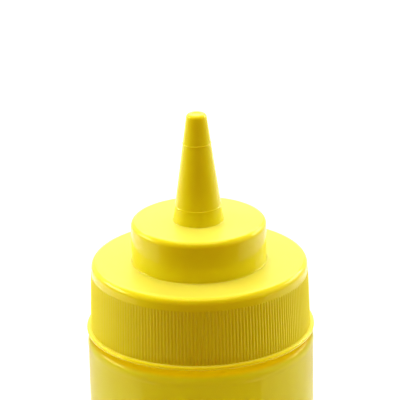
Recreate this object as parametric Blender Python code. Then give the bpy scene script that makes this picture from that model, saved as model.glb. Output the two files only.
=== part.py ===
"""A squeeze bottle for sauce: a straight round bottle under a cap with a cone nozzle.

The bottle is blow-moulded and the cap is injection-moulded, each in one piece. The cap is
screwed shut and its tip is uncut, so both are solid. Heights are measured from the face that
the bottle stands on, and radii from the axis, which is Z. Lengths are in metres.
"""

import math
from dataclasses import dataclass

import bmesh
import bpy

MM = 0.001

# Bottle
BODY_RADIUS = 35.4 * MM
SHOULDER_HEIGHT = 134.0 * MM
SHOULDER_ROUNDING = 3.2 * MM
SHOULDER_RISE = 0.4 * MM
NECK_RADIUS = 31.5 * MM
NECK_ROUNDING = 0.5 * MM
HEEL_ROUNDING = 4.5 * MM
PUSH_UP_OUTER_RADIUS = 25.0 * MM
PUSH_UP_INNER_RADIUS = 21.5 * MM
PUSH_UP_DEPTH = 1.5 * MM
PUSH_UP_ROUNDING = 1.5 * MM

# Cap: the skirt, from the flange at its foot to the deck on top
CAP_GAP = 0.9 * MM
FLANGE_RADIUS = 35.6 * MM
FLANGE_THICKNESS = 1.3 * MM
FLANGE_ROUNDING = 0.45 * MM
SKIRT_HEIGHT = 22.6 * MM
BAND_RADIUS = 33.65 * MM
BAND_HEIGHT = 3.8 * MM
DECK_ROUNDING = 1.8 * MM
SOCKET_DEPTH = 6.0 * MM
FIT_GAP = 0.3 * MM

# Cap: the fine ribs round the skirt, which grow outwards with the mould's draft
RIB_COUNT = 200
RIB_TIP_RADIUS = 33.95 * MM
RIB_RELIEF = 0.32 * MM
RIB_DRAFT = 0.47 * MM
RIB_TIP_SHARE = 0.42
RIB_ROOT_SHARE = 0.30

# Cap: the boss and the nozzle on it
BOSS_RADIUS = 21.0 * MM
BOSS_HEIGHT = 13.0 * MM
BOSS_ROUNDING = 1.6 * MM
BOSS_FOOT_ROUNDING = 0.35 * MM
NOZZLE_HEIGHT = 34.4 * MM
NOZZLE_FOOT_RADIUS = 7.75 * MM
NOZZLE_TIP_RADIUS = 2.95 * MM
NOZZLE_TIP_ROUNDING = 1.25 * MM
LOWER_LEDGE_HEIGHT = 4.8 * MM
UPPER_LEDGE_HEIGHT = 25.0 * MM
LEDGE_STEP = 0.15 * MM
LEDGE_FALL = 0.25 * MM
DIMPLE_RADIUS = 1.35 * MM
DIMPLE_DEPTH = 0.25 * MM

# How finely round shapes are divided
TURN_STEPS = 72
ARC_STEPS = 3
SHARP_ANGLE = math.radians(32)

# Heights that follow from the sizes above
FLANGE_BASE_HEIGHT = SHOULDER_HEIGHT + CAP_GAP
FLANGE_TOP_HEIGHT = FLANGE_BASE_HEIGHT + FLANGE_THICKNESS
DECK_LEVEL = FLANGE_BASE_HEIGHT + SKIRT_HEIGHT
RIB_TOP_LEVEL = DECK_LEVEL - BAND_HEIGHT
BOSS_LEVEL = DECK_LEVEL + BOSS_HEIGHT
TIP_LEVEL = BOSS_LEVEL + NOZZLE_HEIGHT
SOCKET_LEVEL = FLANGE_BASE_HEIGHT + SOCKET_DEPTH


@dataclass(frozen=True)
class Corner:
    """One corner of a turned outline.

    Args:
        radius: Distance from the axis.
        height: Height above the standing face.
        rounding: Radius of the arc that replaces the corner, or 0 for a sharp one.
    """

    radius: float
    height: float
    rounding: float = 0.0


def clear_scene():
    """Removes every object that the scene starts with."""
    for obj in list(bpy.data.objects):
        bpy.data.objects.remove(obj, do_unlink=True)


def plastic(name, colour, roughness):
    """Makes a coloured plastic.

    Args:
        name: Name of the material.
        colour: Linear red, green and blue.
        roughness: Roughness of its Principled BSDF.

    Returns:
        The material.
    """
    material = bpy.data.materials.new(name)
    material.use_nodes = True
    surface = material.node_tree.nodes["Principled BSDF"]
    surface.inputs["Base Color"].default_value = (*colour, 1.0)
    surface.inputs["Roughness"].default_value = roughness
    surface.inputs["Metallic"].default_value = 0.0
    return material


def direction(start, end):
    """Returns the unit vector from one (radius, height) point to another, and their distance."""
    run, rise = end[0] - start[0], end[1] - start[1]
    length = math.hypot(run, rise)
    return (run / length, rise / length), length


def arc_points(before, corner, after):
    """Replaces a corner by an arc that touches both of its sides.

    Args:
        before: The corner before it.
        corner: The corner to round.
        after: The corner after it.

    Returns:
        The (radius, height) points of the arc, or the corner itself if it is sharp.
    """
    middle = (corner.radius, corner.height)
    if corner.rounding == 0:
        return [middle]
    back, _ = direction(middle, (before.radius, before.height))
    ahead, _ = direction(middle, (after.radius, after.height))
    half_angle = math.acos(back[0] * ahead[0] + back[1] * ahead[1]) / 2
    reach = corner.rounding / math.tan(half_angle)
    inward, _ = direction((0, 0), (back[0] + ahead[0], back[1] + ahead[1]))
    depth = corner.rounding / math.sin(half_angle)
    centre = (middle[0] + inward[0] * depth, middle[1] + inward[1] * depth)
    first = math.atan2(middle[1] + back[1] * reach - centre[1], middle[0] + back[0] * reach - centre[0])
    last = math.atan2(middle[1] + ahead[1] * reach - centre[1], middle[0] + ahead[0] * reach - centre[0])
    sweep = (last - first + math.pi) % math.tau - math.pi
    angles = [first + sweep * step / ARC_STEPS for step in range(ARC_STEPS + 1)]
    return [
        (centre[0] + corner.rounding * math.cos(angle), centre[1] + corner.rounding * math.sin(angle))
        for angle in angles
    ]


def rounded_outline(corners):
    """Returns the (radius, height) points of an outline with its corners rounded."""
    points = [(corners[0].radius, corners[0].height)]
    for before, corner, after in zip(corners, corners[1:], corners[2:]):
        points += arc_points(before, corner, after)
    points.append((corners[-1].radius, corners[-1].height))
    return points


def object_of(name, mesh, material):
    """Adds an object to the scene.

    Args:
        name: Name of the object.
        mesh: Its mesh.
        material: Its material, or None for a guide.

    Returns:
        The object.
    """
    obj = bpy.data.objects.new(name, mesh)
    bpy.context.scene.collection.objects.link(obj)
    if material is None:
        obj.hide_render = True
        obj.display_type = "WIRE"
    else:
        mesh.materials.append(material)
    return obj


def turned(name, corners, material=None):
    """Turns an outline about the Z axis.

    Args:
        name: Name of the object.
        corners: Corners from the axis at the top, down the outer side, to the axis below.
        material: Material of the object, or None for a guide.

    Returns:
        The object, with its Screw modifier.
    """
    mesh = bpy.data.meshes.new(name)
    points = [(radius, 0, height) for radius, height in rounded_outline(corners)]
    edges = [(index, index + 1) for index in range(len(points) - 1)]
    mesh.from_pydata(points, edges, [])
    obj = object_of(name, mesh, material)
    turn = obj.modifiers.new("Turn", "SCREW")
    turn.axis = "Z"
    turn.steps = TURN_STEPS
    turn.render_steps = TURN_STEPS
    turn.use_merge_vertices = True
    turn.merge_threshold = 0.01 * MM
    return obj


def rib_outline(tip_radius):
    """Returns the (x, y) points of a round outline with a flat-topped rib every pitch."""
    pitch = math.tau / RIB_COUNT
    tip, root = RIB_TIP_SHARE * pitch / 2, RIB_ROOT_SHARE * pitch / 2
    root_radius = tip_radius - RIB_RELIEF
    outline = []
    for rib in range(RIB_COUNT):
        middle = rib * pitch
        outline += [
            (tip_radius, middle - tip),
            (tip_radius, middle + tip),
            (root_radius, middle + pitch / 2 - root),
            (root_radius, middle + pitch / 2 + root),
        ]
    return [(radius * math.cos(angle), radius * math.sin(angle)) for radius, angle in outline]


def rib_sleeve(name):
    """Makes the ribbed drum that the cap's core is joined with.

    Args:
        name: Name of the guide.

    Returns:
        The guide, from inside the flange up to the tops of the ribs.
    """
    mesh = bpy.data.meshes.new(name)
    shape = bmesh.new()
    foot = FLANGE_TOP_HEIGHT - FLANGE_THICKNESS / 3
    lower = [shape.verts.new((x, y, foot)) for x, y in rib_outline(RIB_TIP_RADIUS + RIB_DRAFT)]
    upper = [shape.verts.new((x, y, RIB_TOP_LEVEL)) for x, y in rib_outline(RIB_TIP_RADIUS)]
    shape.faces.new(lower[::-1])
    shape.faces.new(upper)
    for index in range(len(lower)):
        after = (index + 1) % len(lower)
        shape.faces.new((lower[index], lower[after], upper[after], upper[index]))
    shape.to_mesh(mesh)
    shape.free()
    return object_of(name, mesh, None)


def combine(obj, guide, operation):
    """Joins or cuts an object with a guide by a Boolean modifier."""
    modifier = obj.modifiers.new(guide.name, "BOOLEAN")
    modifier.operation = operation
    modifier.solver = "EXACT"
    modifier.object = guide


def finish(obj, guides=()):
    """Applies an object's modifiers, shades it smooth up to its sharp edges and removes its guides."""
    graph = bpy.context.evaluated_depsgraph_get()
    mesh = bpy.data.meshes.new_from_object(obj.evaluated_get(graph))
    mesh.shade_smooth()
    mesh.set_sharp_from_angle(angle=SHARP_ANGLE)
    mesh.name = obj.name
    obj.modifiers.clear()
    obj.data = mesh
    for guide in guides:
        bpy.data.objects.remove(guide, do_unlink=True)


def cone_radius(height):
    """Returns the radius of the nozzle's cone at a height above the boss, between its two ends."""
    run = NOZZLE_FOOT_RADIUS - 2 * LEDGE_STEP - NOZZLE_TIP_RADIUS
    return NOZZLE_TIP_RADIUS + run * (1 - height / NOZZLE_HEIGHT)


def ledge_corners(height, ledges_above):
    """Returns the two corners of a sloped ledge round the cone.

    Args:
        height: Height of the ledge's foot above the boss.
        ledges_above: How many ledges have widened the cone above it.
    """
    radius = cone_radius(height) + ledges_above * LEDGE_STEP
    return [
        Corner(radius, BOSS_LEVEL + height + LEDGE_FALL),
        Corner(radius + LEDGE_STEP, BOSS_LEVEL + height),
    ]


def nozzle_corners():
    """Returns the nozzle's corners, from the dimple in its closed tip down to the boss."""
    return [
        Corner(0, TIP_LEVEL - DIMPLE_DEPTH),
        Corner(DIMPLE_RADIUS, TIP_LEVEL),
        Corner(NOZZLE_TIP_RADIUS, TIP_LEVEL, NOZZLE_TIP_ROUNDING),
        *ledge_corners(UPPER_LEDGE_HEIGHT, 0),
        *ledge_corners(LOWER_LEDGE_HEIGHT, 1),
        Corner(NOZZLE_FOOT_RADIUS, BOSS_LEVEL),
    ]


def make_cap(material):
    """Makes the cap: nozzle, boss, deck, ribbed skirt, flange and the socket for the neck."""
    cap = turned(
        "cap",
        [
            *nozzle_corners(),
            Corner(BOSS_RADIUS, BOSS_LEVEL, BOSS_ROUNDING),
            Corner(BOSS_RADIUS, DECK_LEVEL, BOSS_FOOT_ROUNDING),
            Corner(BAND_RADIUS, DECK_LEVEL, DECK_ROUNDING),
            Corner(BAND_RADIUS, FLANGE_TOP_HEIGHT),
            Corner(FLANGE_RADIUS, FLANGE_TOP_HEIGHT, FLANGE_ROUNDING),
            Corner(FLANGE_RADIUS, FLANGE_BASE_HEIGHT, FLANGE_ROUNDING),
            Corner(0, FLANGE_BASE_HEIGHT),
        ],
        material,
    )
    socket_radius = NECK_RADIUS + FIT_GAP
    socket = turned(
        "cap_socket",
        [
            Corner(0, SOCKET_LEVEL),
            Corner(socket_radius, SOCKET_LEVEL),
            Corner(socket_radius, FLANGE_BASE_HEIGHT - SOCKET_DEPTH),
            Corner(0, FLANGE_BASE_HEIGHT - SOCKET_DEPTH),
        ],
    )
    ribs = rib_sleeve("cap_ribs")
    combine(cap, ribs, "UNION")
    combine(cap, socket, "DIFFERENCE")
    finish(cap, (ribs, socket))


def make_bottle(material):
    """Makes the bottle: neck, shoulder, straight wall, heel, standing ring and push-up."""
    bottle = turned(
        "bottle",
        [
            Corner(0, SOCKET_LEVEL - FIT_GAP),
            Corner(NECK_RADIUS, SOCKET_LEVEL - FIT_GAP),
            Corner(NECK_RADIUS, SHOULDER_HEIGHT + SHOULDER_RISE, NECK_ROUNDING),
            Corner(BODY_RADIUS, SHOULDER_HEIGHT, SHOULDER_ROUNDING),
            Corner(BODY_RADIUS, 0, HEEL_ROUNDING),
            Corner(PUSH_UP_OUTER_RADIUS, 0, PUSH_UP_ROUNDING),
            Corner(PUSH_UP_INNER_RADIUS, PUSH_UP_DEPTH, PUSH_UP_ROUNDING),
            Corner(0, PUSH_UP_DEPTH),
        ],
        material,
    )
    finish(bottle)


def main():
    """Builds the bottle and its cap."""
    clear_scene()
    make_bottle(plastic("satin yellow polyethylene", (0.80, 0.62, 0.02), 0.38))
    make_cap(plastic("glossy yellow polyethylene", (0.86, 0.66, 0.02), 0.22))


main()
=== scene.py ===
"""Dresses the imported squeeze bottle: its cap, its bottle, their plastics and the studio.

The cap and the bottle are turned about the Z axis, so each is shaped from one circle that is
extruded ring by ring from the top down its outer side, and then rounded, ribbed and finished.
Lengths are in metres, and MM turns a size in millimetres into them.
"""

import logging
import math
from collections.abc import Callable, Sequence
from dataclasses import dataclass, field, replace
from enum import Enum
from functools import partial

import bmesh
import bpy
from mathutils import Euler, Matrix, Vector


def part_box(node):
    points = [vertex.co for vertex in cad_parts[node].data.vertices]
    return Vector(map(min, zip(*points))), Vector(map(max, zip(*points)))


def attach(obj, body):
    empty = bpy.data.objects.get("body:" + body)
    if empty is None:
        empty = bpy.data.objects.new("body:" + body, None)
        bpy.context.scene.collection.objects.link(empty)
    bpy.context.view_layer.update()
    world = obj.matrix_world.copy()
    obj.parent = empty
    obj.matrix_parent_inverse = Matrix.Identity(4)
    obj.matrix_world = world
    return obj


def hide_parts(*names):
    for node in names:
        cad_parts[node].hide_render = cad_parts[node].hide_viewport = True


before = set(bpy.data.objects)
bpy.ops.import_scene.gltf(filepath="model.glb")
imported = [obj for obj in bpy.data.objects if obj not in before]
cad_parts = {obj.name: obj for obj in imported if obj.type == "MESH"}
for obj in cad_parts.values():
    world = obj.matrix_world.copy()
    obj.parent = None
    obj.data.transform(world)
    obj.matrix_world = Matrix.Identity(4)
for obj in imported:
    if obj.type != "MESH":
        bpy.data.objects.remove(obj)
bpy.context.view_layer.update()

MM = 0.001
BODY = "root"
LOG = logging.getLogger("sauce_bottle")

# A point nearer than this to a surface lies on it.
NEAR = 0.01 * MM
# The same for a ring, whose arc may have steps of under NEAR.
NEAR_RING = 0.004 * MM
# Points nearer than this to each other are merged.
MERGED = 0.0005 * MM
# An edge that turns by more than this stays sharp.
SHARP_ANGLE = math.radians(34)


# ---------------------------------------------------------------- colours and nodes


def linear(hex_colour: str) -> tuple[float, float, float, float]:
    """Turns an sRGB hex colour into linear red, green, blue and alpha.

    Args:
        hex_colour: Six hex digits, such as "F0D218".

    Returns:
        The linear colour with an alpha of 1.
    """
    channels = [int(hex_colour[place : place + 2], 16) / 255 for place in (0, 2, 4)]
    bent = [c / 12.92 if c <= 0.04045 else ((c + 0.055) / 1.055) ** 2.4 for c in channels]
    return (bent[0], bent[1], bent[2], 1.0)


def add_node(
    tree: bpy.types.NodeTree,
    kind: str,
    settings: dict[str, object] | None = None,
    **links: object,
) -> bpy.types.Node:
    """Adds a node with its settings and its inputs.

    Args:
        tree: The tree that the node joins.
        kind: The node's Blender type.
        settings: Properties of the node.
        **links: An output socket or a constant for each input, by its name with _ for a space.
            A name that ends in a number, such as In_1, is the input of that index.

    Returns:
        The node.
    """
    node = tree.nodes.new(kind)
    for name, value in (settings or {}).items():
        setattr(node, name, value)
    for name, value in links.items():
        stem, _, place = name.rpartition("_")
        socket = node.inputs[int(place)] if stem == "In" else node.inputs[name.replace("_", " ")]
        if isinstance(value, bpy.types.NodeSocket):
            tree.links.new(value, socket)
        else:
            socket.default_value = value
    return node


class Grain(Enum):
    """How a mould or a die leaves its mark: the stretch of the pattern along X, Y and Z."""

    EVEN = (1.0, 1.0, 1.0)
    DRAWN = (1.0, 1.0, 0.03)


@dataclass(frozen=True)
class Relief:
    """One layer of fine relief in a plastic's skin.

    Args:
        spacing: Distance between its bumps.
        height: How far the bumps stand out.
        grain: Whether the pattern is even or drawn out along the axis.
    """

    spacing: float
    height: float
    grain: Grain = Grain.EVEN


@dataclass(frozen=True)
class Glow:
    """Light that comes through the top of a moulding, warmed by its long way inside the wall.

    Args:
        start: Height at which it sets in.
        full: Height from which it's at its strongest.
        share: Share of the light that comes through there, from 0 to 1.
        colour: The light's sRGB colour.
    """

    start: float
    full: float
    share: float
    colour: str


@dataclass(frozen=True)
class GripBand:
    """The ribbed band of a moulding, whose mould isn't polished, with painted shade between its
    ribs.

    Args:
        low: Height of its lower edge.
        high: Height of its upper edge.
        roughness: Roughness of its ribs.
        colour: Its sRGB colour, painted darker as shade between the ribs.
        fade: Height over which it sets in at either edge.
    """

    low: float
    high: float
    roughness: float
    colour: str
    fade: float = 0.2 * MM


@dataclass(frozen=True)
class PlasticFinish:
    """A pigmented polyethylene.

    Shares run from 0 to 1, and heights are above the standing face.

    Args:
        name: The plastic's common name and how it was moulded.
        colour: Its main sRGB colour.
        deep_colour: The sRGB colour where the pigment lies thicker.
        pigment_spacing: Distance between paler and deeper clouds of pigment.
        roughness: Roughness of the smoothest skin.
        roughness_spread: How much rougher the dullest skin is.
        dull_spacing: Distance between dull patches.
        top_roughness: Roughness of the faces that look straight up.
        bloom: Weight of the pale film of wax that sweats out of the plastic.
        scatter: Share of the light that enters the skin and comes out beside its way in.
        scatter_reach: How far that light travels.
        translucence: Share of the light that the thin wall lets through.
        reliefs: Its layers of fine relief.
        top_bloom: The bloom on the faces that look straight up, where nothing rubs it off.
        bloom_roughness: How evenly the bloom spreads over the slopes.
        scatter_colours: How far red, green and blue light travel, as shares of scatter_reach.
        gloss_tint: The sRGB colour of the mirror reflection seen straight on.
        ior: Index of refraction.
        dull_range: The noise values of the smoothest and of the dullest skin.
        top_range: How upright a normal is where a face starts to be a top, and where it is one.
        noise_detail: How many finer layers a noise has.
        glow: The warmer light that comes through its top.
        grip: Its ribbed band.
    """

    name: str
    colour: str
    deep_colour: str
    pigment_spacing: float
    roughness: float
    roughness_spread: float
    dull_spacing: float
    top_roughness: float
    bloom: float
    scatter: float
    scatter_reach: float
    translucence: float
    reliefs: tuple[Relief, ...]
    top_bloom: float | None = None
    bloom_roughness: float = 0.5
    scatter_colours: tuple[float, float, float] = (1.0, 0.8, 0.1)
    gloss_tint: str = "FFF47A"
    ior: float = 1.51
    dull_range: tuple[float, float] = (0.3, 0.7)
    top_range: tuple[float, float] = (0.85, 0.99)
    noise_detail: float = 3.0
    glow: Glow | None = None
    grip: GripBand | None = None

    def noise(
        self, tree: bpy.types.NodeTree, place: bpy.types.NodeSocket, spacing: float, grain: Grain
    ) -> bpy.types.NodeSocket:
        """Adds a noise of a real spacing.

        Args:
            tree: The material's tree.
            place: Object coordinates.
            spacing: Distance between its bumps.
            grain: How the pattern is stretched.

        Returns:
            The noise's value, from 0 to 1.
        """
        scale = tuple(axis / spacing for axis in grain.value)
        stretched = add_node(tree, "ShaderNodeMapping", Vector=place, Scale=scale).outputs["Vector"]
        texture = add_node(
            tree, "ShaderNodeTexNoise", Vector=stretched, Scale=1.0, Detail=self.noise_detail
        )
        return texture.outputs["Fac"]

    def find_ribs(
        self, tree: bpy.types.NodeTree, height: bpy.types.NodeSocket, grip: GripBand
    ) -> bpy.types.NodeSocket:
        """Finds the ribbed band.

        Args:
            tree: The material's tree.
            height: Height of the shaded point.
            grip: The ribbed band.

        Returns:
            1 on the band and 0 off it.
        """
        edges = ((grip.low, grip.low + grip.fade), (grip.high, grip.high - grip.fade))
        above_low, below_high = (
            add_node(tree, "ShaderNodeMapRange", Value=height, From_Min=off, From_Max=on)
            for off, on in edges
        )
        both = add_node(
            tree,
            "ShaderNodeMath",
            {"operation": "MULTIPLY"},
            In_0=above_low.outputs["Result"],
            In_1=below_high.outputs["Result"],
        )
        return both.outputs[0]

    def find_tops(self, tree: bpy.types.NodeTree) -> bpy.types.NodeSocket:
        """Finds the faces that look straight up.

        Args:
            tree: The material's tree.

        Returns:
            1 on those faces and 0 off them.
        """
        facing = add_node(tree, "ShaderNodeNewGeometry").outputs["Normal"]
        upright = add_node(tree, "ShaderNodeSeparateXYZ", Vector=facing).outputs["Z"]
        start, full = self.top_range
        tops = add_node(tree, "ShaderNodeMapRange", Value=upright, From_Min=start, From_Max=full)
        return tops.outputs["Result"]

    def cloud_colour(
        self, tree: bpy.types.NodeTree, place: bpy.types.NodeSocket
    ) -> bpy.types.NodeSocket:
        """Clouds the main colour with the deeper one.

        Args:
            tree: The material's tree.
            place: Object coordinates.

        Returns:
            The clouded colour.
        """
        clouded = add_node(
            tree,
            "ShaderNodeMix",
            {"data_type": "RGBA"},
            In_0=self.noise(tree, place, self.pigment_spacing, Grain.EVEN),
            In_6=linear(self.deep_colour),
            In_7=linear(self.colour),
        )
        return clouded.outputs[2]

    def dull_skin(
        self, tree: bpy.types.NodeTree, place: bpy.types.NodeSocket, tops: bpy.types.NodeSocket
    ) -> bpy.types.NodeSocket:
        """Makes the skin patchily dull, and duller on the tops.

        Args:
            tree: The material's tree.
            place: Object coordinates.
            tops: 1 on the faces that look straight up.

        Returns:
            The roughness.
        """
        smoothest, dullest = self.dull_range
        patches = add_node(
            tree,
            "ShaderNodeMapRange",
            Value=self.noise(tree, place, self.dull_spacing, Grain.EVEN),
            From_Min=smoothest,
            From_Max=dullest,
            To_Min=self.roughness,
            To_Max=self.roughness + self.roughness_spread,
        )
        skin = add_node(
            tree,
            "ShaderNodeMix",
            In_0=tops,
            In_2=patches.outputs["Result"],
            In_3=self.top_roughness,
        )
        return skin.outputs[0]

    def raise_reliefs(
        self, tree: bpy.types.NodeTree, place: bpy.types.NodeSocket, surface: bpy.types.Node
    ) -> None:
        """Lays the layers of fine relief over one another.

        Args:
            tree: The material's tree.
            place: Object coordinates.
            surface: The plastic's shader.
        """
        target = surface.inputs["Normal"]
        for relief in reversed(self.reliefs):
            bumps = self.noise(tree, place, relief.spacing, relief.grain)
            bump = add_node(
                tree, "ShaderNodeBump", Height=bumps, Distance=relief.height, Strength=1.0
            )
            tree.links.new(bump.outputs["Normal"], target)
            target = bump.inputs["Normal"]

    def let_light_through(
        self, tree: bpy.types.NodeTree, height: bpy.types.NodeSocket, colour: bpy.types.NodeSocket
    ) -> None:
        """Mixes the light that comes through the wall into the surface.

        Args:
            tree: The material's tree.
            height: Height of the shaded point.
            colour: The plastic's colour.
        """
        share: bpy.types.NodeSocket | float = self.translucence
        if self.glow:
            risen = add_node(
                tree,
                "ShaderNodeMapRange",
                Value=height,
                From_Min=self.glow.start,
                From_Max=self.glow.full,
            ).outputs["Result"]
            share = add_node(
                tree, "ShaderNodeMix", In_0=risen, In_2=self.translucence, In_3=self.glow.share
            ).outputs[0]
            colour = add_node(
                tree,
                "ShaderNodeMix",
                {"data_type": "RGBA"},
                In_0=risen,
                In_6=colour,
                In_7=linear(self.glow.colour),
            ).outputs[2]
        through = add_node(tree, "ShaderNodeBsdfTranslucent", Color=colour)
        wall = add_node(
            tree,
            "ShaderNodeMixShader",
            In_0=share,
            In_1=tree.nodes["Principled BSDF"].outputs["BSDF"],
            In_2=through.outputs["BSDF"],
        )
        tree.links.new(wall.outputs["Shader"], tree.nodes["Material Output"].inputs["Surface"])

    def build(self) -> bpy.types.Material:
        """Makes the material.

        Returns:
            The finished material.
        """
        material = bpy.data.materials.new(self.name)
        material.use_nodes = True
        tree = material.node_tree
        surface = tree.nodes["Principled BSDF"]
        constants: dict[str, float | Sequence[float]] = {
            "Metallic": 0.0,
            "IOR": self.ior,
            "Specular Tint": linear(self.gloss_tint),
            "Subsurface Weight": self.scatter,
            "Subsurface Scale": self.scatter_reach,
            "Subsurface Radius": self.scatter_colours,
            "Sheen Weight": self.bloom,
            "Sheen Roughness": self.bloom_roughness,
        }
        for name, value in constants.items():
            surface.inputs[name].default_value = value

        place = add_node(tree, "ShaderNodeTexCoord").outputs["Object"]
        height = add_node(tree, "ShaderNodeSeparateXYZ", Vector=place).outputs["Z"]
        tops = self.find_tops(tree)
        colour = self.cloud_colour(tree, place)
        roughness = self.dull_skin(tree, place, tops)
        if self.grip:
            ribs = self.find_ribs(tree, height, self.grip)
            # The ribbed band's colour is painted darker as shade between its ribs; its roughness is
            # the unpolished mould's own.
            painted_rib_shade = linear(self.grip.colour)
            colour = add_node(
                tree, "ShaderNodeMix", {"data_type": "RGBA"}, In_0=ribs, In_6=colour, In_7=painted_rib_shade
            ).outputs[2]
            roughness = add_node(
                tree, "ShaderNodeMix", In_0=ribs, In_2=roughness, In_3=self.grip.roughness
            ).outputs[0]
        tree.links.new(colour, surface.inputs["Base Color"])
        tree.links.new(roughness, surface.inputs["Roughness"])
        if self.top_bloom is not None:
            bloom = add_node(
                tree, "ShaderNodeMix", In_0=tops, In_2=self.bloom, In_3=self.top_bloom
            ).outputs[0]
            tree.links.new(bloom, surface.inputs["Sheen Weight"])
        self.raise_reliefs(tree, place, surface)
        if self.translucence > 0:
            self.let_light_through(tree, height, colour)
        return material


# Injection-moulded low-density polyethylene from a polished mould: a clean, glossy skin that
# mirrors its surroundings softly, with faint flow marks and hardly any grain.
CAP_PLASTIC = PlasticFinish(
    name="injection-moulded polyethylene, yellow, glossy",
    colour="E0DC0E",
    deep_colour="DDD70A",
    pigment_spacing=14 * MM,
    roughness=0.10,
    roughness_spread=0.03,
    dull_spacing=5 * MM,
    top_roughness=0.4,
    bloom=0.03,
    top_bloom=0.26,
    scatter=1.0,
    scatter_reach=2.0 * MM,
    translucence=0.0,
    reliefs=(
        # the flow marks
        Relief(9 * MM, 0.02 * MM),
    ),
)

# Blow-moulded low-density polyethylene: the parison was squeezed through a ring die and blown
# against a fine mould, so the skin is glossy but uneven, with faint lines drawn along the axis.
# Half of the light comes through the thin wall, and the index is raised so that the half of the
# surface that is left mirrors as much as a whole one.
BOTTLE_PLASTIC = PlasticFinish(
    name="blow-moulded polyethylene, yellow, glossy",
    colour="E5E52A",
    deep_colour="E2E122",
    pigment_spacing=22 * MM,
    roughness=0.07,
    roughness_spread=0.03,
    dull_spacing=6 * MM,
    top_roughness=0.3,
    bloom=0.25,
    scatter=1.0,
    scatter_reach=1.0 * MM,
    translucence=0.5,
    ior=1.75,
    reliefs=(
        # shallow waves where the wall cooled unevenly
        Relief(12 * MM, 0.03 * MM),
        # the lines that the ring die drew
        Relief(2.2 * MM, 0.006 * MM, Grain.DRAWN),
        # the mould's grain
        Relief(0.9 * MM, 0.003 * MM),
    ),
)


# ---------------------------------------------------------------- turning by hand


@dataclass(frozen=True)
class Ring:
    """One ring of a turned shape.

    Args:
        radius: Distance from the axis.
        height: Height above the standing face.
        rounding: Radius of the arc that rounds the corner here, or 0 to leave it sharp.
        segments: How many faces the arc is divided into.
    """

    radius: float
    height: float
    rounding: float = 0.0
    segments: int = 6

    def holds(self, point: Vector, near: float = NEAR_RING) -> bool:
        """Says whether a point lies on the ring, give or take near."""
        return abs(point.z - self.height) < near and abs(point.xy.length - self.radius) < near


def deselect_objects() -> None:
    bpy.ops.object.select_all(action="DESELECT")


@dataclass
class TurnedShape:
    """A closed round mesh, extruded ring by ring from the top down its outer side.

    Args:
        name: Name of the object.
        columns: How many faces go round it.
        rings: Its rings, from the top to the underside.
    """

    name: str
    columns: int
    rings: Sequence[Ring]
    obj: bpy.types.Object = field(init=False)

    def extrude(self) -> None:
        """Adds the first ring as a filled circle and extrudes it to every other one."""
        deselect_objects()
        first = self.rings[0]
        bpy.ops.mesh.primitive_circle_add(
            vertices=self.columns,
            radius=first.radius,
            fill_type="NGON",
            location=(0, 0, first.height),
        )
        self.obj = bpy.context.active_object
        self.obj.name = self.name
        self.obj.data.name = self.name
        bpy.ops.object.transform_apply(location=True, rotation=True, scale=True)
        bpy.ops.object.mode_set(mode="EDIT")
        bpy.ops.mesh.select_mode(type="FACE")
        bpy.ops.mesh.select_all(action="SELECT")
        for last, ring in zip(self.rings, self.rings[1:]):
            fall = (0, 0, ring.height - last.height)
            bpy.ops.mesh.extrude_region_move(TRANSFORM_OT_translate={"value": fall})
            growth = ring.radius / last.radius
            bpy.ops.transform.resize(value=(growth, growth, 1), center_override=(0, 0, ring.height))
        bpy.ops.mesh.select_all(action="SELECT")
        bpy.ops.mesh.normals_make_consistent(inside=False)

    def select(self, chosen: Callable[[Vector], bool], mode: str = "EDGE") -> None:
        """Selects the edges or vertices whose points are all chosen.

        Args:
            chosen: Says of a point whether it counts.
            mode: "EDGE" or "VERT".
        """
        bpy.ops.mesh.select_mode(type=mode)
        bpy.ops.mesh.select_all(action="DESELECT")
        shape = bmesh.from_edit_mesh(self.obj.data)
        items = shape.edges if mode == "EDGE" else shape.verts
        for item in items:
            points = [item.co] if mode == "VERT" else [corner.co for corner in item.verts]
            if all(chosen(point) for point in points):
                item.select_set(True)
        shape.select_flush_mode()
        bmesh.update_edit_mesh(self.obj.data)

    def keep_selected(self, kept: Callable[[bmesh.types.BMEdge], bool]) -> None:
        """Deselects the selected edges that aren't kept.

        Args:
            kept: Says of an edge whether it stays selected.
        """
        shape = bmesh.from_edit_mesh(self.obj.data)
        for edge in shape.edges:
            if edge.select and not kept(edge):
                edge.select_set(False)
        bmesh.update_edit_mesh(self.obj.data)

    def round_corners(self) -> None:
        """Bevels every ring that has a rounding into an arc that touches both of its sides."""
        for before, ring, after in zip(self.rings, self.rings[1:], self.rings[2:]):
            if ring.rounding == 0:
                continue
            middle = Vector((ring.radius, ring.height))
            back = Vector((before.radius, before.height)) - middle
            ahead = Vector((after.radius, after.height)) - middle
            reach = ring.rounding / math.tan(back.angle(ahead) / 2)
            self.select(ring.holds)
            bpy.ops.mesh.bevel(
                offset=reach,
                offset_type="OFFSET",
                segments=ring.segments,
                profile=0.5,
                affect="EDGES",
                clamp_overlap=False,
            )

    def finish(self) -> None:
        """Leaves edit mode, shades the piece smooth and keeps its flat faces flat."""
        bpy.ops.mesh.select_all(action="SELECT")
        bpy.ops.mesh.remove_doubles(threshold=MERGED)
        bpy.ops.mesh.normals_make_consistent(inside=False)
        bpy.ops.object.mode_set(mode="OBJECT")
        bpy.ops.object.shade_smooth_by_angle(angle=SHARP_ANGLE)
        bpy.ops.object.modifier_add(type="WEIGHTED_NORMAL")
        weighting = self.obj.modifiers[-1]
        weighting.keep_sharp = True
        bpy.ops.object.modifier_apply(modifier=weighting.name)

    def dress(self, finish: PlasticFinish, slot: str, node: str) -> None:
        """Gives the piece its plastic and ties it to the frame.

        Args:
            finish: The plastic.
            slot: The record's material slot; not used.
            node: The CAD node that it stands for.
        """
        self.obj.data.materials.clear()
        self.obj.data.materials.append(finish.build())
        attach(self.obj, BODY)
        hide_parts(node)
        LOG.info("%s: %d faces, for node %s", self.name, len(self.obj.data.polygons), node)


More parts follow.
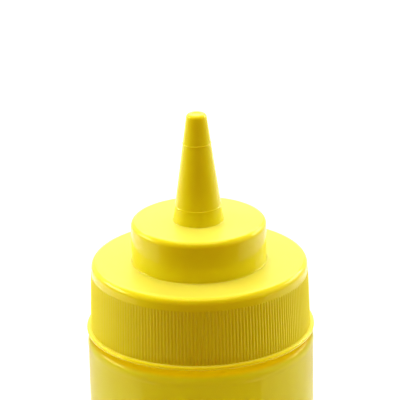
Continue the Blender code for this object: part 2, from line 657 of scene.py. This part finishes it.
# ---------------------------------------------------------------- the cap


@dataclass
class Cap:
    """The cap: closed cone nozzle, boss, deck, plain band, ribbed skirt and flange.

    The flange's radius, the foot of the flange and the tip come from the CAD node. There is one
    rib to a column.
    """

    columns: int = 200
    centre_radius: float = 0.3 * MM
    tip_radius: float = 3.05 * MM
    tip_rounding: float = 1.25 * MM
    dimple_radius: float = 1.35 * MM
    dimple_depth: float = 0.25 * MM
    dimple_rim_rounding: float = 0.15 * MM
    dimple_floor_radius: float = 0.945 * MM
    dimple_floor_fall: float = 0.1875 * MM
    dimple_floor_rounding: float = 0.6 * MM
    nozzle_height: float = 34.4 * MM
    nozzle_foot_radius: float = 7.85 * MM
    nozzle_foot_rounding: float = 0.25 * MM
    upper_ledge_height: float = 25.0 * MM
    lower_ledge_height: float = 4.8 * MM
    ledge_step: float = 0.05 * MM
    bead_relief: float = 0.16 * MM
    bead_rounding: float = 0.05 * MM
    bead_foot: float = 0.4 * MM
    boss_radius: float = 21.0 * MM
    boss_height: float = 13.0 * MM
    boss_rounding: float = 1.8 * MM
    boss_foot_rounding: float = 0.35 * MM
    band_radius: float = 33.65 * MM
    band_height: float = 3.8 * MM
    deck_rounding: float = 2.0 * MM
    flange_thickness: float = 1.3 * MM
    flange_rounding: float = 0.62 * MM
    socket_radius: float = 31.8 * MM
    socket_rounding: float = 0.2 * MM
    socket_centre_radius: float = 1.0 * MM
    socket_depth: float = 6.0 * MM
    band_foot: float = 0.05 * MM
    rib_root_radius: float = 33.64 * MM
    rib_relief: float = 0.17 * MM
    rib_draft: float = 0.58 * MM
    rib_head: float = 0.3 * MM
    rib_fullness: float = 0.6
    rib_cuts: int = 7
    rib_roughness: float = 0.6
    # The ribbed band's colour, painted darker as shade between the ribs.
    rib_shade_colour: str = "D3CD0C"
    shape: TurnedShape = field(init=False)

    def __post_init__(self) -> None:
        """Works out the levels from the CAD node's box."""
        low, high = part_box("cap")
        self.flange_radius: float = high.x
        self.foot_level: float = low.z
        self.tip_level: float = high.z
        self.boss_level: float = self.tip_level - self.nozzle_height
        self.deck_level: float = self.boss_level - self.boss_height
        self.rib_top_level: float = self.deck_level - self.band_height
        self.flange_level: float = self.foot_level + self.flange_thickness

    def cone_radius(self, height: float) -> float:
        """Returns the radius of the cone without its ledges at a height above the boss."""
        run = self.nozzle_foot_radius - 2 * self.ledge_step - self.tip_radius
        return self.tip_radius + run * (1 - height / self.nozzle_height)

    def ledge(self, height: float, ledges_above: int) -> list[Ring]:
        """Returns the rings of a small bead, below which the cone is a little wider.

        Args:
            height: Height of its foot above the boss.
            ledges_above: How many ledges have widened the cone above it.

        Returns:
            Its rings, from the top down.
        """
        radius = self.cone_radius(height) + ledges_above * self.ledge_step
        level = self.boss_level + height
        relief = self.bead_relief
        return [
            Ring(radius, level + relief),
            Ring(radius + relief, level, self.bead_rounding, 2),
            Ring(radius + relief, level - relief, self.bead_rounding, 2),
            Ring(radius + self.ledge_step, level - self.bead_foot),
        ]

    def nozzle_rings(self) -> list[Ring]:
        """Returns the nozzle's rings, from the dimple in its closed tip to the boss."""
        return [
            Ring(self.centre_radius, self.tip_level - self.dimple_depth),
            Ring(
                self.dimple_floor_radius,
                self.tip_level - self.dimple_floor_fall,
                self.dimple_floor_rounding,
                4,
            ),
            Ring(self.dimple_radius, self.tip_level, self.dimple_rim_rounding, 3),
            Ring(self.tip_radius, self.tip_level, self.tip_rounding, 10),
            *self.ledge(self.upper_ledge_height, 0),
            *self.ledge(self.lower_ledge_height, 1),
            Ring(self.nozzle_foot_radius, self.boss_level, self.nozzle_foot_rounding, 4),
        ]

    def rib_rings(self) -> list[Ring]:
        """Returns the three rings that the ribs are cut between: their tops, heads and feet."""
        length = self.rib_top_level - self.flange_level
        head_radius = self.rib_root_radius + self.rib_draft * self.rib_head / length
        return [
            Ring(self.rib_root_radius, self.rib_top_level),
            Ring(head_radius, self.rib_top_level - self.rib_head),
            Ring(self.rib_root_radius + self.rib_draft, self.flange_level),
        ]

    def rings(self) -> list[Ring]:
        """Returns all the rings, from the tip to the socket's roof."""
        return [
            *self.nozzle_rings(),
            Ring(self.boss_radius, self.boss_level, self.boss_rounding, 8),
            Ring(self.boss_radius, self.deck_level, self.boss_foot_rounding, 5),
            Ring(self.band_radius, self.deck_level, self.deck_rounding, 8),
            Ring(self.band_radius, self.rib_top_level + self.band_foot),
            *self.rib_rings(),
            Ring(self.flange_radius, self.flange_level, self.flange_rounding, 6),
            Ring(self.flange_radius, self.foot_level, self.flange_rounding, 6),
            Ring(self.socket_radius, self.foot_level, self.socket_rounding, 3),
            Ring(self.socket_radius, self.foot_level + self.socket_depth),
            Ring(self.socket_centre_radius, self.foot_level + self.socket_depth),
        ]

    def on_rib_line(self, point: Vector, share: float) -> bool:
        """Says whether a point lies on one line of the ribs, from their heads to their feet.

        Args:
            point: The point.
            share: The line's place across its column, from 0 to 1.

        Returns:
            Whether it does.
        """
        _, head, foot = self.rib_rings()
        pitch = math.tau / self.columns
        chord_sag = head.radius * (1 - math.cos(pitch / 2))
        inner, outer = head.radius - chord_sag - NEAR, foot.radius + NEAR
        low, high = foot.height - NEAR, head.height + NEAR
        if not (low < point.z < high and inner < point.xy.length < outer):
            return False
        turn = math.atan2(point.y, point.x) / pitch
        quarter_part = 0.25 / (self.rib_cuts + 1)
        return abs((turn - share + 0.5) % 1 - 0.5) < quarter_part

    def cut_ribs(self) -> None:
        """Divides every face of the skirt and raises a rib in its middle."""
        rings = self.rib_rings()
        self.shape.select(lambda point: any(ring.holds(point, NEAR) for ring in rings))
        self.shape.keep_selected(lambda edge: abs(edge.verts[0].co.z - edge.verts[1].co.z) < NEAR)
        bpy.ops.mesh.subdivide(number_cuts=self.rib_cuts, ngon=True, quadcorner="STRAIGHT_CUT")
        parts = self.rib_cuts + 1
        for part in range(1, parts):
            share = part / parts
            rise = (0.5 - 0.5 * math.cos(math.tau * share)) ** self.rib_fullness
            growth = 1 + rise * self.rib_relief / self.rib_root_radius
            self.shape.select(partial(self.on_rib_line, share=share), "VERT")
            bpy.ops.transform.resize(value=(growth, growth, 1), center_override=(0, 0, 0))

    def build(self) -> None:
        """Shapes and dresses the cap."""
        self.shape = TurnedShape("cap_moulding", self.columns, self.rings())
        self.shape.extrude()
        self.shape.round_corners()
        self.cut_ribs()
        self.shape.finish()
        # The band's colour is painted shade between the ribs.
        grip = GripBand(self.flange_level, self.rib_top_level, self.rib_roughness, self.rib_shade_colour)
        self.shape.dress(replace(CAP_PLASTIC, grip=grip), "cap", "cap")


# ---------------------------------------------------------------- the bottle


@dataclass
class Bottle:
    """The bottle: neck, shoulder, straight wall, heel, standing ring and push-up.

    Its radius and the top of its neck come from the CAD node. Under the shoulder the wall is
    tucked in by a hair.
    """

    columns: int = 180
    centre_radius: float = 1.0 * MM
    neck_radius: float = 31.5 * MM
    neck_rounding: float = 0.5 * MM
    shoulder_height: float = 133.3 * MM
    shoulder_rise: float = 0.3 * MM
    shoulder_rounding: float = 2.6 * MM
    tuck: float = 0.1 * MM
    tuck_gap: float = 0.4 * MM
    tuck_height: float = 1.0 * MM
    tuck_top_rounding: float = 0.3 * MM
    tuck_foot_rounding: float = 0.5 * MM
    heel_rounding: float = 4.5 * MM
    push_up_outer_radius: float = 25.0 * MM
    push_up_inner_radius: float = 21.5 * MM
    push_up_depth: float = 1.5 * MM
    push_up_rounding: float = 1.5 * MM
    wall_cuts: int = 30
    shortest_cut: float = 10 * MM
    unevenness: float = 0.12 * MM
    unevenness_spacing: float = 40 * MM
    unevenness_middle: float = 0.7
    unevenness_fade: float = 15 * MM
    even_top: float = 7 * MM
    even_heel: float = 9 * MM
    glow_start: float = 1.4 * MM
    glow_full: float = 0.3 * MM
    glow_share: float = 0.85
    glow_colour: str = "FFDC00"
    shape: TurnedShape = field(init=False)

    def __post_init__(self) -> None:
        """Takes the radius and the top of the neck from the CAD node's box."""
        _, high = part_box("bottle")
        self.radius: float = high.x
        self.wall_radius: float = self.radius - self.tuck
        self.neck_level: float = high.z

    def rings(self) -> list[Ring]:
        """Returns the rings, from the top of the neck to the middle of the push-up."""
        neck_foot = self.shoulder_height + self.shoulder_rise
        tuck_level = self.shoulder_height - self.shoulder_rounding - self.tuck_gap
        return [
            Ring(self.centre_radius, self.neck_level),
            Ring(self.neck_radius, self.neck_level),
            Ring(self.neck_radius, neck_foot, self.neck_rounding, 4),
            Ring(self.radius, self.shoulder_height, self.shoulder_rounding, 8),
            Ring(self.radius, tuck_level, self.tuck_top_rounding, 3),
            Ring(self.wall_radius, tuck_level - self.tuck_height, self.tuck_foot_rounding, 3),
            Ring(self.wall_radius, 0, self.heel_rounding, 12),
            Ring(self.push_up_outer_radius, 0, self.push_up_rounding, 4),
            Ring(self.push_up_inner_radius, self.push_up_depth, self.push_up_rounding, 4),
            Ring(self.centre_radius, self.push_up_depth),
        ]

    def divide_wall(self) -> None:
        """Cuts the tall faces of the wall into a fine grid."""
        self.shape.select(lambda point: abs(point.xy.length - self.wall_radius) < NEAR)
        self.shape.keep_selected(lambda edge: edge.calc_length() > self.shortest_cut)
        bpy.ops.mesh.subdivide(number_cuts=self.wall_cuts, quadcorner="STRAIGHT_CUT")

    def unlevel_wall(self) -> None:
        """Lets the thin wall lie slightly off the cylinder, as blown plastic cools unevenly."""
        group = self.shape.obj.vertex_groups.new(name="wall")
        low, high = self.even_heel, self.shoulder_height - self.even_top
        for vertex in self.shape.obj.data.vertices:
            fade = min(vertex.co.z - low, high - vertex.co.z) / self.unevenness_fade
            if fade > 0:
                group.add([vertex.index], min(1.0, fade), "REPLACE")
        clouds = bpy.data.textures.new("uneven_wall", "CLOUDS")
        clouds.noise_scale = self.unevenness_spacing
        bpy.ops.object.modifier_add(type="DISPLACE")
        push = self.shape.obj.modifiers[-1]
        push.texture = clouds
        push.texture_coords = "LOCAL"
        push.strength = self.unevenness
        push.mid_level = self.unevenness_middle
        push.vertex_group = group.name
        bpy.ops.object.modifier_apply(modifier=push.name)
        self.shape.obj.vertex_groups.clear()

    def build(self) -> None:
        """Shapes and dresses the bottle."""
        self.shape = TurnedShape("bottle_moulding", self.columns, self.rings())
        self.shape.extrude()
        self.shape.round_corners()
        self.divide_wall()
        self.shape.finish()
        self.unlevel_wall()
        start = self.shoulder_height - self.glow_start
        full = self.shoulder_height - self.glow_full
        glow = Glow(start, full, self.glow_share, self.glow_colour)
        self.shape.dress(replace(BOTTLE_PLASTIC, glow=glow), "bottle", "bottle")


# ---------------------------------------------------------------- the studio


@dataclass(frozen=True)
class Softbox:
    """A flat, evenly bright lamp that faces the cap.

    Args:
        name: Name of the lamp.
        direction: Degrees from the camera's side, positive to its right, and degrees above the
            level of the cap.
        distance: Distance from the cap.
        size: Its width and its height.
        radiance: How bright its face is, where 1 is white.
        aim_behind: How far behind the cap the point lies that it faces and is placed from.
    """

    name: str
    direction: tuple[float, float]
    distance: float
    size: tuple[float, float]
    radiance: float
    aim_behind: float = 0.0

    def build(self, cap_level: float) -> None:
        """Adds the lamp.

        Args:
            cap_level: Height of the cap.
        """
        aim = Vector((0, self.aim_behind, cap_level))
        turn, rise = (math.radians(degrees) for degrees in self.direction)
        level = math.cos(rise)
        away = Vector((math.sin(turn) * level, -math.cos(turn) * level, math.sin(rise)))
        lamp = bpy.data.lights.new(self.name, "AREA")
        lamp.shape = "RECTANGLE"
        lamp.size, lamp.size_y = self.size
        lamp.energy = self.radiance * math.pi * lamp.size * lamp.size_y
        obj = bpy.data.objects.new(self.name, lamp)
        obj.location = aim + away * self.distance
        obj.rotation_euler = away.to_track_quat("Z", "Y").to_euler()
        bpy.context.scene.collection.objects.link(obj)
        LOG.info("%s: radiance %.1f", self.name, self.radiance)


@dataclass
class Studio:
    """The pale floor, the soft lamps, the surroundings and the camera.

    Args:
        floor_size: Length of the floor's sides.
        floor_front: How far the floor reaches out in front of the bottle.
        floor_colour: The floor's sRGB colour.
        floor_roughness: The floor's roughness.
        floor_gloss: Level of the floor's mirror reflection, where 0.5 is common.
        back_brightness: How bright the surroundings behind the bottle are, where 1 is white.
        back_colour: The sRGB colour of those, and of the backdrop on every side.
        front_brightness: How bright the surroundings in front of it are.
        front_colour: The sRGB colour of those.
        front_end: Where the front ends, as the Y part of a way of length 1.
        back_start: Where the back starts, likewise.
        camera_distance: Distance from the camera to the point that it's aimed at.
        camera_elevation: Degrees that it looks down by.
        camera_roll: Degrees that it's turned by about its own line of sight.
        camera_clip: Distance that it starts to see at.
        focal_pixels: Its focal length, in pixels.
        picture_pixels: The picture's width, in pixels.
        sensor: Width of its sensor, in millimetres.
        aim_right: How far the aimed point lies to the right of the axis.
        aim_above_deck: How far it lies above the cap's deck.
        lamps: The soft lamps.
    """

    floor_size: float = 8.0
    floor_front: float = 0.15
    floor_colour: str = "E2E2E0"
    floor_roughness: float = 0.9
    floor_gloss: float = 0.1
    back_brightness: float = 1.0
    back_colour: str = "FFFFFF"
    front_brightness: float = 0.40
    front_colour: str = "FFB676"
    front_end: float = -0.7
    back_start: float = 0.6
    camera_distance: float = 800 * MM
    camera_elevation: float = 20.7
    camera_roll: float = -1.15
    camera_clip: float = 50 * MM
    focal_pixels: float = 2597.0
    picture_pixels: float = 400.0
    sensor: float = 36.0
    aim_right: float = 0.6 * MM
    aim_above_deck: float = 19.2 * MM
    lamps: tuple[Softbox, ...] = (
        Softbox("top_softbox", (0, 86), 1.0, (0.9, 0.8), radiance=2.5),
        Softbox("back_softbox", (180, 88), 1.2, (2.0, 0.9), radiance=4.6, aim_behind=1.4),
        Softbox("left_softbox", (-75, 25), 1.2, (0.8, 0.8), radiance=0.6),
        Softbox("right_softbox", (75, 25), 1.2, (0.8, 0.8), radiance=0.9),
        Softbox("left_strip", (-103, 24), 0.9, (0.5, 0.28), radiance=9.0),
        Softbox("right_strip", (123, 24), 0.9, (0.55, 0.26), radiance=6.4),
    )

    def build_floor(self) -> None:
        """Adds the floor under the bottle."""
        deselect_objects()
        bpy.ops.mesh.primitive_plane_add(
            size=self.floor_size, location=(0, self.floor_size / 2 - self.floor_front, 0)
        )
        floor = bpy.context.active_object
        bpy.ops.object.transform_apply(location=True, rotation=True, scale=True)
        floor.name = "floor"
        # Uncoated paper scatters all that falls on it and shows hardly any gloss.
        material = bpy.data.materials.new("matt white paper")
        material.use_nodes = True
        surface = material.node_tree.nodes["Principled BSDF"]
        surface.inputs["Base Color"].default_value = linear(self.floor_colour)
        surface.inputs["Roughness"].default_value = self.floor_roughness
        surface.inputs["Specular IOR Level"].default_value = self.floor_gloss
        floor.data.materials.append(material)

    def build_surroundings(self) -> None:
        """Lights the bottle from white surroundings behind it and dim, warm ones in front.

        The backdrop itself is white on every side.
        """
        world = bpy.data.worlds.new("studio")
        bpy.context.scene.world = world
        world.use_nodes = True
        tree = world.node_tree
        background = tree.nodes["Background"]
        way = add_node(tree, "ShaderNodeTexCoord").outputs["Generated"]
        behind = add_node(
            tree,
            "ShaderNodeMapRange",
            {"interpolation_type": "SMOOTHSTEP"},
            Value=add_node(tree, "ShaderNodeSeparateXYZ", Vector=way).outputs["Y"],
            From_Min=self.front_end,
            From_Max=self.back_start,
        ).outputs["Result"]
        brightness = add_node(
            tree,
            "ShaderNodeMix",
            In_0=behind,
            In_2=self.front_brightness,
            In_3=self.back_brightness,
        )
        tree.links.new(brightness.outputs[0], background.inputs["Strength"])
        white = linear(self.back_colour)
        colour = add_node(
            tree,
            "ShaderNodeMix",
            {"data_type": "RGBA"},
            In_0=behind,
            In_6=linear(self.front_colour),
            In_7=white,
        )
        tree.links.new(colour.outputs[2], background.inputs["Color"])

        backdrop = add_node(
            tree, "ShaderNodeBackground", Color=white, Strength=self.back_brightness
        )
        sides = add_node(
            tree,
            "ShaderNodeMixShader",
            In_0=add_node(tree, "ShaderNodeLightPath").outputs["Is Camera Ray"],
            In_1=background.outputs["Background"],
            In_2=backdrop.outputs["Background"],
        )
        tree.links.new(sides.outputs["Shader"], tree.nodes["World Output"].inputs["Surface"])

    def build_camera(self, deck_level: float) -> None:
        """Adds the camera, looking down at the cap from the front.

        Args:
            deck_level: Height of the cap's deck.
        """
        data = bpy.data.cameras.new("camera")
        data.sensor_width = self.sensor
        data.lens = self.focal_pixels * self.sensor / self.picture_pixels
        data.clip_start = self.camera_clip
        camera = bpy.data.objects.new("camera", data)
        fall = math.radians(self.camera_elevation)
        aim = Vector((self.aim_right, 0, deck_level + self.aim_above_deck))
        away = Vector((0, -math.cos(fall), math.sin(fall)))
        tilt = Euler((math.pi / 2 - fall, 0, 0)).to_matrix()
        turn = tilt @ Matrix.Rotation(math.radians(self.camera_roll), 3, "Z")
        camera.matrix_world = Matrix.Translation(aim + away * self.camera_distance) @ turn.to_4x4()
        bpy.context.scene.collection.objects.link(camera)
        bpy.context.scene.camera = camera

    def build(self, deck_level: float) -> None:
        """Builds the whole studio.

        Args:
            deck_level: Height of the cap's deck, which the lamps and the camera face.
        """
        self.build_camera(deck_level)
        self.build_floor()
        self.build_surroundings()
        for lamp in self.lamps:
            lamp.build(deck_level)
        bpy.context.scene.view_settings.view_transform = "Standard"
        LOG.info("studio: floor, surroundings and %d lamps", len(self.lamps))


def main() -> None:
    """Builds the cap, the bottle and the studio."""
    logging.basicConfig(level=logging.INFO, format="%(message)s")
    cap = Cap()
    cap.build()
    bottle = Bottle()
    bottle.build()
    Studio().build(cap.deck_level)


if __name__ == "__main__":
    main()
